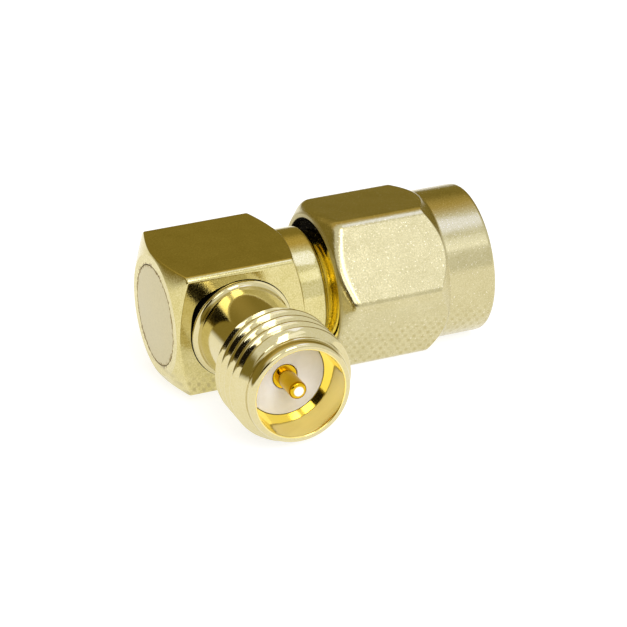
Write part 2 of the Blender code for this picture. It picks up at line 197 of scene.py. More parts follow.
NUT_STEPS = 288

# Camera, set from the edges of the object in the photograph.
CAMERA_PLACE = (-53.018, -130.11, 58.116)
CAMERA_AZIMUTH = -21.653
CAMERA_ELEVATION = 21.198
CAMERA_ROLL = -2.881
CAMERA_LENS = 169.18
SENSOR_WIDTH = 36.0
CAMERA_REACH = (0.005, 10)


def crossing_and_jack():
    """The crossing of the two axes, and the direction in which the jack points."""
    low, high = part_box("coupling_nut")
    jack_low, jack_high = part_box("jack_barrel")
    crossing = (low + high) / 2
    crossing.x = (jack_low.x + jack_high.x) / 2
    mounts = frame["record"]["mounts"]
    rim = next(mount for mount in mounts if mount["name"] == "jack_rim")
    return crossing, Vector(rim["axis"]).normalized()


CROSSING, JACK = crossing_and_jack()
PLUG = Vector((1, 0, 0))


def axes(direction, up):
    """Matrix that takes local Z to the direction, and local X near up."""
    z = direction.normalized()
    x = (up - z * up.dot(z)).normalized()
    y = z.cross(x)
    turn = Matrix((x, y, z)).transposed()
    return Matrix.Translation(CROSSING) @ turn.to_4x4()


BLOCK_UP = JACK.cross(PLUG)
JACK_FRAME = axes(JACK, BLOCK_UP)
PLUG_FRAME = axes(PLUG, BLOCK_UP)
NUT_FRAME = axes(PLUG, Vector((0, 0, 1)))


# Profiles and turned meshes.
def soften(profile, radii, points=4, roomy=()):
    """Round the named corners of a closed profile with arcs of a few points.

    An arc takes nearly half of each side that it meets, at most. A roomy one takes up
    to three quarters, and may reach further along one side than along the other.
    """
    rounded = []
    count = len(profile)
    for i, corner in enumerate(profile):
        radius = radii.get(i, 0)
        if not radius:
            rounded.append(corner)
            continue
        here = Vector(corner)
        before = Vector(profile[i - 1]) - here
        after = Vector(profile[(i + 1) % count]) - here
        reach = radius / math.tan(before.angle(after) / 2)
        if i in roomy:
            first_reach = min(reach, before.length * ROOMY_LIMIT)
            last_reach = min(reach, after.length * ROOMY_LIMIT)
        else:
            shorter = min(before.length, after.length)
            first_reach = last_reach = min(reach, shorter * ARC_LIMIT)
        start = here + before.normalized() * first_reach
        end = here + after.normalized() * last_reach
        for step in range(points + 1):
            share = step / points
            first = start.lerp(here, share)
            second = here.lerp(end, share)
            rounded.append(tuple(first.lerp(second, share)))
    return rounded


def turned(name, profile_at, angles, matrix, open_ended=False):
    """Mesh from one profile of (radius, height) at each angle, closed or open-ended."""
    columns = [profile_at(angle) for angle in angles]
    rows = len(columns[0])
    points = []
    for angle, column in zip(angles, columns):
        across, up = math.sin(angle), math.cos(angle)
        for radius, height in column:
            local = Vector((radius * up, radius * across, height)) * MM
            points.append(matrix @ local)
    faces = []
    for i in range(len(angles) - 1):
        for j in range(rows - 1 if open_ended else rows):
            k = (j + 1) % rows
            here, there = i * rows, (i + 1) * rows
            faces.append((here + j, there + j, there + k, here + k))
    return solid(name, points, faces)


def solid(name, points, faces):
    """Object with a tidy mesh of these points, in the scene."""
    mesh = bpy.data.meshes.new(name)
    mesh.from_pydata(points, [], faces)
    tidy_mesh(mesh)
    obj = bpy.data.objects.new(name, mesh)
    bpy.context.scene.collection.objects.link(obj)
    return obj


def tidy_mesh(mesh):
    """Join doubled points, face every side outwards, and shade smooth between edges."""
    shape = bmesh.new()
    shape.from_mesh(mesh)
    bmesh.ops.remove_doubles(shape, verts=shape.verts, dist=JOINED * MM)
    bmesh.ops.dissolve_degenerate(shape, edges=shape.edges, dist=COLLAPSED * MM)
    bmesh.ops.recalc_face_normals(shape, faces=shape.faces)
    shape.to_mesh(mesh)
    shape.free()
    mesh.shade_smooth()
    mesh.set_sharp_from_angle(angle=SHARP_ANGLE)


def even_angles(steps):
    """Angles all the way round, the last one back at the first."""
    return [math.tau * i / steps for i in range(steps + 1)]


def plain(profile):
    """A profile that is the same at every angle."""
    return lambda angle: profile


def corner_angles(sides, across_flats, corner, per_flat, per_corner):
    """Angles around a rounded polygon, close together at its corners."""
    half = across_flats / 2
    share = math.pi / sides
    edge = math.atan((half * math.tan(share) - corner * math.tan(share)) / half)
    found = []
    for side in range(sides):
        middle = math.tau * side / sides
        for i in range(per_flat):
            found.append(middle - edge + 2 * edge * i / per_flat)
        for i in range(per_corner):
            found.append(middle + edge + 2 * (share - edge) * i / per_corner)
    found.append(found[0] + math.tau)
    return found


def polygon_radius(angle, sides, across_flats, corner):
    """Distance from the axis to the side of a polygon with rounded corners."""
    share = math.pi / sides
    folded = abs((angle + share) % (2 * share) - share)
    half = across_flats / 2
    centre = Vector((half - corner, (half - corner) * math.tan(share)))
    ray = Vector((math.cos(folded), math.sin(folded)))
    if half * math.tan(folded) <= centre.y:
        return half / math.cos(folded)
    along = ray.dot(centre)
    return along + math.sqrt(along ** 2 - centre.length_squared + corner ** 2)


# Screw threads, from one Geometry Nodes tree.
class Formula:
    """Short calls for the number nodes of a Geometry Nodes tree."""

    def __init__(self, group):
        self.nodes = group.nodes
        self.links = group.links

    def node(self, kind, **sources):
        made = self.nodes.new(kind)
        for name, source in sources.items():
            self.feed(made.inputs[name.replace("_", " ")], source)
        return made

    def feed(self, socket, source):
        if isinstance(source, (int, float)):
            socket.default_value = source
        else:
            self.links.new(source, socket)

    def math(self, operation, *values):
        made = self.nodes.new("ShaderNodeMath")
        made.operation = operation
        for socket, value in zip(made.inputs, values):
            self.feed(socket, value)
        return made.outputs["Value"]


def thread_tree():
    """A skin that follows a screw's helix, joined to the plain skin that it is given."""
    group = bpy.data.node_groups.new("screw_thread", "GeometryNodeTree")
    face = group.interface
    face.new_socket("Plain Skin", in_out="INPUT", socket_type="NodeSocketGeometry")
    for name in ("Columns", "Rows", "Rows Per Turn"):
        face.new_socket(name, in_out="INPUT", socket_type="NodeSocketInt")
    sizes = ("Low", "High", "Pitch", "Phase", "Side", "Crest", "Depth", "Soften", "Front Edge")
    sizes += ("Front Slope", "Back Edge", "Back Slope", "Front Join", "Back Join")
    for name in sizes:
        face.new_socket(name, in_out="INPUT", socket_type="NodeSocketFloat")
    face.new_socket("Finish", in_out="INPUT", socket_type="NodeSocketMaterial")
    face.new_socket("Threaded Skin", in_out="OUTPUT", socket_type="NodeSocketGeometry")
    given = group.nodes.new("NodeGroupInput").outputs
    calc = Formula(group)

    # Each column is an angle, and each row is a line that climbs one pitch in a turn.
    columns = calc.math("ADD", given["Columns"], 1)
    grid = calc.node("GeometryNodeMeshGrid", Vertices_X=columns, Vertices_Y=given["Rows"])
    position = calc.node("GeometryNodeInputPosition").outputs["Position"]
    place = calc.node("ShaderNodeSeparateXYZ", Vector=position)
    share = calc.math("ADD", place.outputs["X"], 0.5)
    last = calc.math("SUBTRACT", given["Rows"], 1)
    upwards = calc.math("ADD", place.outputs["Y"], 0.5)
    row = calc.math("ROUND", calc.math("MULTIPLY", upwards, last))
    turn = calc.math("ADD", calc.math("DIVIDE", row, given["Rows Per Turn"]), share)
    turn = calc.math("SUBTRACT", calc.math("ADD", turn, given["Phase"]), TURNS_BELOW)
    climb = calc.math("MULTIPLY_ADD", turn, given["Pitch"], given["Low"])
    height = calc.math("MINIMUM", calc.math("MAXIMUM", climb, given["Low"]), given["High"])

    # The groove is a flat-bottomed V, by the height's place within its own turn.
    risen = calc.math("DIVIDE", calc.math("SUBTRACT", height, given["Low"]), given["Pitch"])
    turned_back = calc.math("SUBTRACT", calc.math("SUBTRACT", risen, given["Phase"]), share)
    within = calc.math("FRACT", turned_back)
    start, floor = CREST_SHARE / 2, 0.5 - ROOT_SHARE / 2
    falling = calc.math("SUBTRACT", within, start)
    rising = calc.math("SUBTRACT", 1 - start, within)
    cut = calc.math("DIVIDE", calc.math("MINIMUM", falling, rising), floor - start)
    cut = calc.math("MINIMUM", calc.math("SMOOTH_MAX", cut, 0, CREST_ROUNDING), 1)
    side = given["Side"]
    crest = calc.math("MULTIPLY", side, given["Crest"])
    groove = calc.math("SUBTRACT", crest, calc.math("MULTIPLY", given["Depth"], cut))

    # A cone at each end limits how far the crests stand out.
    to_front = calc.math("SUBTRACT", given["High"], height)
    to_back = calc.math("SUBTRACT", height, given["Low"])
    front = calc.math("MULTIPLY", side, given["Front Edge"])
    front = calc.math("MULTIPLY_ADD", to_front, given["Front Slope"], front)
    back = calc.math("MULTIPLY", side, given["Back Edge"])
    back = calc.math("MULTIPLY_ADD", to_back, given["Back Slope"], back)
    radius = calc.math("SMOOTH_MIN", groove, front, given["Soften"])
    radius = calc.math("MULTIPLY", side, calc.math("MINIMUM", radius, back))

    # The first and the last row meet the plain skin.
    is_first = calc.math("LESS_THAN", row, 0.5)
    is_last = calc.math("GREATER_THAN", row, calc.math("SUBTRACT", last, 0.5))
    between = calc.math("SUBTRACT", calc.math("SUBTRACT", 1, is_first), is_last)
    radius = calc.math("MULTIPLY", radius, between)
    radius = calc.math("MULTIPLY_ADD", is_first, given["Back Join"], radius)
    radius = calc.math("MULTIPLY_ADD", is_last, given["Front Join"], radius)

    angle = calc.math("MULTIPLY", share, math.tau)
    across = calc.math("MULTIPLY", radius, calc.math("COSINE", angle))
    along = calc.math("MULTIPLY", radius, calc.math("SINE", angle))
    point = calc.node("ShaderNodeCombineXYZ", X=across, Y=along, Z=height).outputs["Vector"]
    moved = calc.node("GeometryNodeSetPosition", Geometry=grid.outputs["Mesh"], Position=point)
    joined = calc.nodes.new("GeometryNodeJoinGeometry")
    calc.links.new(moved.outputs["Geometry"], joined.inputs["Geometry"])
    calc.links.new(given["Plain Skin"], joined.inputs["Geometry"])
    skins = joined.outputs["Geometry"]
    merged = calc.node("GeometryNodeMergeByDistance", Geometry=skins, Distance=JOINED * MM)
    real = calc.node("GeometryNodeRealizeInstances", Geometry=merged.outputs["Geometry"])
    finish, shape = given["Finish"], real.outputs["Geometry"]
    dressed = calc.node("GeometryNodeSetMaterial", Geometry=shape, Material=finish)
    ended = group.nodes.new("NodeGroupOutput")
    calc.links.new(dressed.outputs["Geometry"], ended.inputs["Threaded Skin"])
    return group


def add_thread(obj, matrix, finish, columns, low, high, **sizes):
    """Give a plain skin its thread, as one closed mesh, and put it in its place."""
    turns = math.ceil((high - low) / THREAD_PITCH) + TURNS_BELOW + TURNS_ABOVE
    values = {"Columns": columns, "Rows": turns * THREAD_ROWS_PER_TURN}
    values["Rows Per Turn"] = THREAD_ROWS_PER_TURN
    values["Finish"] = finish
    values["Low"] = low * MM
    values["High"] = high * MM
    values["Pitch"] = THREAD_PITCH * MM
    for name, size in sizes.items():
        words = name.replace("_", " ").title()
        values[words] = size if words in ("Phase", "Side") or "Slope" in words else size * MM
    group = bpy.data.node_groups.get("screw_thread") or thread_tree()
    modifier = obj.modifiers.new("Thread", "NODES")
    modifier.node_group = group
    for item in group.interface.items_tree:
        if item.name in values:
            modifier[item.identifier] = values[item.name]
    graph = bpy.context.evaluated_depsgraph_get()
    mesh = bpy.data.meshes.new_from_object(obj.evaluated_get(graph))
    obj.modifiers.clear()
    old = obj.data
    obj.data = mesh
    bpy.data.meshes.remove(old)
    mesh.name = obj.name
    mesh.transform(matrix)
    tidy_mesh(mesh)


# Pieces of the elbow.
def make_block():
    """Square bar with turned ends and a neck, and the hole that the jack sits in."""
    half_hole = FERRULE_HOLE / 2
    neck = NECK_DIAMETER / 2
    flat = END_FLAT_DIAMETER / 2
    recess = RECESS_DIAMETER / 2
    cavity = CAVITY_DIAMETER / 2

    def profile(angle):
        side = polygon_radius(angle, BLOCK_SIDES, BLOCK_WIDTH, BLOCK_CORNER)
        right = BLOCK_RIGHT - (side - neck) * END_CONE_SLOPE
        left = BLOCK_LEFT + (side - flat) * END_CONE_SLOPE
        corners = [
            (half_hole, NECK_END),
            (neck, NECK_END),
            (neck, BLOCK_RIGHT),
            (side, right),
            (side, left),
            (flat, BLOCK_LEFT),
            (recess, BLOCK_LEFT),
            (recess, RECESS_FLOOR),
            (cavity, RECESS_FLOOR),
            (cavity, FERRULE_FLOOR),
            (half_hole, FERRULE_FLOOR),
        ]
        soft = {
            0: FERRULE_HOLE_EDGE,
            1: NECK_EDGE,
            3: BLOCK_SOFTEN,
            4: BLOCK_SOFTEN,
            5: END_FLAT_EDGE,
            6: RECESS_EDGE,
        }
        return soften(corners, soft, FINE_ARC, roomy=(1,))

    square = (BLOCK_SIDES, BLOCK_WIDTH, BLOCK_CORNER)
    angles = corner_angles(*square, BLOCK_PER_FLAT, BLOCK_PER_CORNER)
    block = turned("elbow_body_dressed", profile, angles, PLUG_FRAME)

    inner = DIELECTRIC_HOLE / 2
    face = BLOCK_WIDTH / 2

    def hole_profile(angle):
        """The seat of the collar, opened into a crescent where the joint shows."""
        gap = HOLE_GAP + HOLE_WAVE * (1 + wobble(angle, HOLE_WAVE_SEED)) / 2
        gap += CRESCENT_WIDTH * hump(angle, CRESCENT_ANGLE, CRESCENT_SPREAD)
        hole = COLLAR_DIAMETER / 2 + gap
        rim = hole + HOLE_EDGE
        return [
            (0, face + HOLE_OVERRUN),
            (rim + HOLE_OVERRUN, face + HOLE_OVERRUN),
            (rim, face),
            (hole, face - HOLE_EDGE),
            (hole, COLLAR_HOLE_FLOOR),
            (inner, COLLAR_HOLE_FLOOR),
            (inner, 0),
            (0, 0),
        ]

    cutter = turned("jack_hole", hole_profile, even_angles(LARGE_STEPS), JACK_FRAME)
    carve(block, cutter)
    return block


def wobble(angle, seed):
    """An uneven wave round a circle, from -1 to 1."""
    waves = ((3, 0.3), (7, 0.25), (13, 0.25), (29, 0.2))
    return sum(size * math.sin(count * angle + seed * count ** 2) for count, size in waves)


def hump(angle, middle, spread):
    """A smooth rise to 1 about one angle of a circle."""
    away = (angle - middle + math.pi) % math.tau - math.pi
    return math.exp(-((away / spread) ** 2))


def carve(obj, cutter):
    """Cut one mesh from another, and keep only the result."""
    modifier = obj.modifiers.new("Hole", "BOOLEAN")
    modifier.operation = "DIFFERENCE"
    modifier.solver = "EXACT"
    modifier.object = cutter
    graph = bpy.context.evaluated_depsgraph_get()
    mesh = bpy.data.meshes.new_from_object(obj.evaluated_get(graph))
    obj.modifiers.clear()
    old = obj.data
    obj.data = mesh
    mesh.name = obj.name
    bpy.data.meshes.remove(old)
    bpy.data.objects.remove(cutter)
    tidy_mesh(mesh)
    flatten_shading(mesh, (JACK, -JACK, BLOCK_UP, -BLOCK_UP, -PLUG))


def flatten_shading(mesh, directions):
    """Turn each corner at a flat face the way that face points, so it looks flat."""
    corners = [corner.vector.copy() for corner in mesh.corner_normals]
    touched = {}
    for face in mesh.polygons:
        for direction in directions:
            if face.normal.dot(direction) > FLAT_MATCH:
                for loop in face.loop_indices:
                    corners[loop] = direction
                for vertex in face.vertices:
                    touched.setdefault(vertex, []).append(direction)
    for loop, corner in enumerate(mesh.loops):
        for direction in touched.get(corner.vertex_index, ()):
            if corners[loop].dot(direction) > NEAR_MATCH:
                corners[loop] = direction
    mesh.normals_split_custom_set(corners)


def make_cap():
    """Round cap pressed into the left end of the block."""

    def profile(angle):
        """The rim is uneven, so the seam round it opens and closes."""
        radius = CAP_DIAMETER / 2 - CAP_WAVE * (1 + wobble(angle, CAP_WAVE_SEED)) / 2
        corners = [
            (0, CAP_INNER),
            (radius, CAP_INNER),
            (radius, BLOCK_LEFT),
            (0, BLOCK_LEFT),
        ]
        return soften(corners, {2: CAP_EDGE})

    return turned("end_cap_dressed", profile, even_angles(LARGE_STEPS), PLUG_FRAME)


def make_barrel(finish):
    """Jack's barrel: a flared collar, a plain neck, the thread, its pilot and the socket."""
    pilot = PILOT_DIAMETER / 2
    neck = JACK_NECK_DIAMETER / 2
    collar = COLLAR_DIAMETER / 2
    socket = SOCKET_DIAMETER / 2
    bore = DIELECTRIC_HOLE / 2
    fillet = collar - neck
    flare = []
    for step in range(COLLAR_FLARE_STEPS + 1):
        turn = math.pi + math.pi / 2 * step / COLLAR_FLARE_STEPS
        across = collar + fillet * math.cos(turn)
        flare.append((across, COLLAR_TOP + fillet + fillet * math.sin(turn)))
    skin = [
        (neck, THREAD_BACK),
        *flare,
        (collar, COLLAR_TOP - COLLAR_LIP),
        (collar, COLLAR_FOOT),
        (bore, COLLAR_FOOT),
        (bore, SOCKET_FLOOR),
        (socket, SOCKET_FLOOR),
        (socket, JACK_FRONT),
        (pilot, JACK_FRONT),
        (pilot, THREAD_FRONT),
    ]
    socket_edge = len(skin) - 3
    edges = {socket_edge: SOCKET_EDGE, socket_edge + 1: PILOT_EDGE}
    skin = soften(skin, edges, FINE_ARC, roomy=(socket_edge + 1,))
    angles = even_angles(LARGE_STEPS)
    barrel = turned("jack_barrel_dressed", plain(skin), angles, Matrix.Identity(4), True)
    add_thread(
        barrel,
        JACK_FRAME,
        finish,
        LARGE_STEPS,
        THREAD_BACK,
        THREAD_FRONT,
        phase=THREAD_PHASE,
        side=1,
        crest=THREAD_DIAMETER / 2,
        depth=THREAD_DEPTH,
        soften=THREAD_SOFTEN,
        front_edge=THREAD_TAPER_DIAMETER / 2,
        front_slope=(THREAD_DIAMETER - THREAD_TAPER_DIAMETER) / 2 / THREAD_TAPER,
        back_edge=THREAD_BACK_DIAMETER / 2,
        back_slope=1,
        front_join=pilot,
        back_join=neck,
    )
    return barrel


def sleeve(name, front, matrix):
    """White dielectric round a centre conductor, up to a height on its axis."""
    outer = DIELECTRIC_DIAMETER / 2
    inner = CONTACT_HOLE / 2
    corners = [
        (inner, front),
        (outer, front),
        (outer, DIELECTRIC_BACK),
        (inner, DIELECTRIC_BACK),
    ]
    profile = soften(corners, {0: SLEEVE_INNER_EDGE, 1: SLEEVE_OUTER_EDGE})
    return turned(name, plain(profile), even_angles(SMALL_STEPS), matrix)


def make_pin():
    """Jack's stepped pin, with its tail at the crossing of the axes."""
    pin = PIN_DIAMETER / 2
    contact = CONTACT_DIAMETER / 2
    tail = TAIL_DIAMETER / 2
    corners = [
        (0, PIN_TOP),
        (pin, PIN_TOP),
        (pin, SOCKET_FLOOR),
        (contact, SOCKET_FLOOR),
        (contact, TAIL_START),
        (tail, TAIL_START),
        (tail, TAIL_END),
        (0, TAIL_END),
    ]
    profile = soften(corners, {1: PIN_NOSE, 3: CONTACT_EDGE}, FINE_ARC)
    return turned("jack_pin_dressed", plain(profile), even_angles(SMALL_STEPS), JACK_FRAME)


def make_ferrule():
    """Outer contact of the plug, with the groove for the retaining ring."""
    tip = TIP_DIAMETER / 2
    outer = FERRULE_DIAMETER / 2
    groove = GROOVE_DIAMETER / 2
    bore = DIELECTRIC_HOLE / 2
    corners = [
        (bore, TIP_END),
        (tip, TIP_END),
        (tip, FERRULE_SEAT),
        (outer, FERRULE_SEAT),
        (outer, GROOVE_HIGH),
        (groove, GROOVE_HIGH),
        (groove, GROOVE_LOW),
        (outer, GROOVE_LOW),
        (outer, FERRULE_TAIL),
        (bore, FERRULE_TAIL),
    ]
    profile = soften(corners, {0: FERRULE_BORE_EDGE, 1: TIP_EDGE, 3: FERRULE_SEAT_EDGE})
    return turned("plug_ferrule_dressed", plain(profile), even_angles(LARGE_STEPS), PLUG_FRAME)


def make_gasket():
    """Rubber ring on the plug's seat."""
    outer = GASKET_DIAMETER / 2
    inner = GASKET_HOLE / 2
    corners = [
        (inner, GASKET_HIGH),
        (outer, GASKET_HIGH),
        (outer, GASKET_LOW),
        (inner, GASKET_LOW),
    ]
    soft = {0: GASKET_INNER_EDGE, 1: GASKET_OUTER_EDGE, 2: GASKET_OUTER_EDGE}
    profile = soften(corners, soft, FINE_ARC)
    return turned("gasket_dressed", plain(profile), even_angles(SMALL_STEPS), PLUG_FRAME)


# Coupling nut.
def make_nut(finish):
    """Hexagonal nut with a round front collar, a rear recess and an inner thread."""
    rear_flat = NUT_REAR_FLAT_DIAMETER / 2
    collar = NUT_COLLAR_DIAMETER / 2
    relief = NUT_RELIEF_DIAMETER / 2
    bore = NUT_BORE / 2
    rear_bore = NUT_REAR_BORE / 2
    groove = NUT_GROOVE_DIAMETER / 2

    def profile(angle):
        side = polygon_radius(angle, NUT_SIDES, NUT_FLATS, NUT_CORNER)
        shoulder = NUT_SHOULDER - (side - collar) * NUT_SHOULDER_SLOPE
        rear = NUT_REAR + (side - rear_flat) * NUT_REAR_SLOPE
        outside = [
            (relief, NUT_FRONT),
            (collar, NUT_FRONT),
            (collar, NUT_SHOULDER),
            (side, shoulder),
            (side, rear),
            (rear_flat, NUT_REAR),
            (rear_bore, NUT_REAR),
            (rear_bore, NUT_REAR_FLOOR),
            (bore, NUT_REAR_FLOOR),
            (bore, NUT_GROOVE_LOW),
            (groove, NUT_GROOVE_LOW),
            (groove, NUT_GROOVE_HIGH),
            (bore, NUT_GROOVE_HIGH),
            (bore, NUT_CAVITY_START),
            (relief, NUT_CAVITY_START),
            (relief, NUT_THREAD_START),
        ]
        soft = {
            1: NUT_COLLAR_EDGE,
            2: NUT_SHOULDER_SOFTEN,
            3: NUT_SOFTEN,
            4: NUT_REAR_SOFTEN,
            5: NUT_REAR_EDGE,
            6: NUT_MOUTH_SOFTEN,
            8: NUT_BORE_EDGE,
        }
        return soften(outside, soft, FINE_ARC, roomy=(4, 6))

    angles = even_angles(NUT_STEPS)
    nut = turned("coupling_nut_dressed", profile, angles, Matrix.Identity(4), True)
    add_thread(
        nut,
        NUT_FRAME,
        finish,
        NUT_STEPS,
        NUT_THREAD_START,
        NUT_FRONT,
        phase=NUT_THREAD_PHASE,
        side=-1,
        crest=NUT_THREAD_DIAMETER / 2,
        depth=NUT_THREAD_DEPTH,
        soften=NUT_THREAD_SOFTEN,
        front_edge=relief,
        front_slope=1,
        back_edge=relief,
        back_slope=1,
        front_join=relief,
        back_join=relief,
    )
    turn = NUT_FRAME.to_3x3()
    middles = even_angles(NUT_SIDES)[:NUT_SIDES]
    flats = [turn @ Vector((math.cos(middle), math.sin(middle), 0)) for middle in middles]
    flatten_shading(nut.data, flats)
    return nut


# Finishes. Colours are linear, depths and widths are in millimetres.
GOLD = (0.64, 0.56, 0.28)
PALE_GOLD = (0.68, 0.61, 0.355)
# Painted bounce light: brighter, more saturated gold inside the jack's socket, for light
# reflected between its walls.
BORE_BOUNCE_GOLD = (0.95, 0.80, 0.27)
DEEP_GOLD = (0.62, 0.38, 0.008)
# Painted bounce light: bright, saturated gold in the nut's rear recess and on the ferrule
# inside it, for light reflected between gold walls.
BOUNCE_LIGHT_GOLD = (0.97, 0.84, 0.27)
# Painted shade: near-black laid into the gaps round the jack's collar and into the nut's rear
# recess, where shade falls.
PAINTED_SHADE = (0.012, 0.009, 0.004)
SEAM_BROWN = (0.28, 0.20, 0.04)
# Near-white for a spot in the middle of the pin's tip.
TIP_SPOT_GOLD = (1.0, 0.96, 0.86)
GLINT_GOLD = (0.95, 0.9, 0.75)
WEAVE_GOLD = (0.49, 0.42, 0.19)
BLOCK_TONES = ((0.56, 0.485, 0.18), (0.72, 0.64, 0.32))
CAP_TONES = ((0.52, 0.46, 0.255), (0.62, 0.555, 0.335))
BARREL_TONES = (GOLD, PALE_GOLD)
CONTACT_TONES = (DEEP_GOLD, (0.70, 0.47, 0.02))
NUT_TONES = ((0.52, 0.46, 0.235), (0.63, 0.57, 0.33))
RESIN_TONES = ((0.78, 0.735, 0.64), (0.83, 0.79, 0.71))
RUBBER_TONES = ((0.36, 0.06, 0.03), (0.46, 0.10, 0.05))

# Scales of the noises, to the metre.
PATCHES = 900
SPECKS = 13000
GLINTS = 11000
TURNING_LINES = (300, 300, 26000)
SEAM_BREAKS = 4200
WEAVE_BREAKS = 2600
RESIN_PATCHES = 1500
RESIN_GRAIN = 9000
RUBBER_PATCHES = 2500
RUBBER_GRAIN = 12000

# Depths of the bumps, and where the painted bounce light in the bore, the pale spot at the
# pin's tip, the dark joints and the duller stretch begin.
GRAIN_DEPTH = 0.004
TURNING_DEPTH = 0.003
DIMPLE_DEPTH = 0.008
GLINT_DEPTH = 0.008
RUBBER_DEPTH = 0.005
BORE_FADE = 0.06
MATT_REAR = 5.36
MATT_FADE = 0.1
MATT_EXTRA = 0.28
# The pale spot at the pin's tip: how far back from the end it reaches, how wide it is, and its
# fade.
TIP_SPOT_DEPTH = 0.05
TIP_SPOT_RADIUS = 0.28
TIP_SPOT_FADE = 0.06
SEAM_WIDTH = (0.015, 0.16)
BLOCK_SEAM = RECESS_DIAMETER / 2
CAP_SEAM = 2.63
BORE_RADIUS = SOCKET_DIAMETER / 2 + SOCKET_EDGE

# Dimpled grain: the lattice's width, height and slant, and the heights where it ends.
WEAVE_WIDTH = 0.52
WEAVE_HEIGHT = 0.61
WEAVE_SLANT = 0.28
BLOCK_WEAVE_TOP = 2.2
NUT_WEAVE_TOP = 3.8

# Pockets: a radius round an axis and a stretch of it, from the crossing of the axes.
BLOCK_SEAT = (3.08, (2.45, 3.29))
BARREL_FOOT = (2.8, (2.45, 3.32))
FERRULE_IN_NUT = (3.2, (4.0, 6.4))
NUT_RECESS = (3.72, (5.27, 6.6))
NUT_RECESS_FLOOR = (3.42, (5.4, 6.6))
POCKET_EDGE = 0.03

# Levels in a pocket: distances from the crossing along a line that leans backwards.
LEANING_BACK = (0, 0.5, 0.866)
EVERY_LEVEL = (-20, 20)
# Levels of the painted shade in the nut's rear recess: over its floor, and at its mouth
# towards the top and back.
FLOOR_SHADE_LEVELS = (1.2, 20)
MOUTH_SHADE_LEVELS = (2.4, 20)
LEVEL_FADE = 0.7


def shader_of(name):
    """New material with nodes, and its shader."""
    material = bpy.data.materials.new(name)
    material.use_nodes = True
    return material, material.node_tree.nodes["Principled BSDF"]


class Wiring:
    """Short calls for building the nodes of a material or a world."""

    def __init__(self, owner):
        self.nodes = owner.node_tree.nodes
        self.links = owner.node_tree.links

    def join(self, source, target):
        self.links.new(source, target)

    def spread(self, source, low, high, out_low, out_high, eased="LINEAR"):
        node = self.nodes.new("ShaderNodeMapRange")
        node.interpolation_type = eased
        node.inputs["From Min"].default_value = low
        node.inputs["From Max"].default_value = high
        node.inputs["To Min"].default_value = out_low
        node.inputs["To Max"].default_value = out_high
        self.join(source, node.inputs["Value"])
        return node.outputs["Result"]

    def math(self, operation, first, second=None):
        node = self.nodes.new("ShaderNodeMath")
        node.operation = operation
        for socket, value in zip(node.inputs, (first, second)):
            if value is None:
                continue
            if isinstance(value, (int, float)):
                socket.default_value = value
            else:
                self.join(value, socket)
        return node.outputs["Value"]

    def blend(self, share, first, second):
        node = self.nodes.new("ShaderNodeMix")
        node.data_type = "RGBA"
        colours = [socket for socket in node.inputs if socket.type == "RGBA"]
        factor = [socket for socket in node.inputs if socket.type == "VALUE"][0]
        self.join(share, factor)
        for socket, colour in zip(colours, (first, second)):
            if isinstance(colour, tuple):
                socket.default_value = (*colour, 1.0)
            else:
                self.join(colour, socket)
        return [socket for socket in node.outputs if socket.type == "RGBA"][0]

    def parts(self, source):
        node = self.nodes.new("ShaderNodeSeparateXYZ")
        self.join(source, node.inputs["Vector"])
        return node.outputs["X"], node.outputs["Y"], node.outputs["Z"]


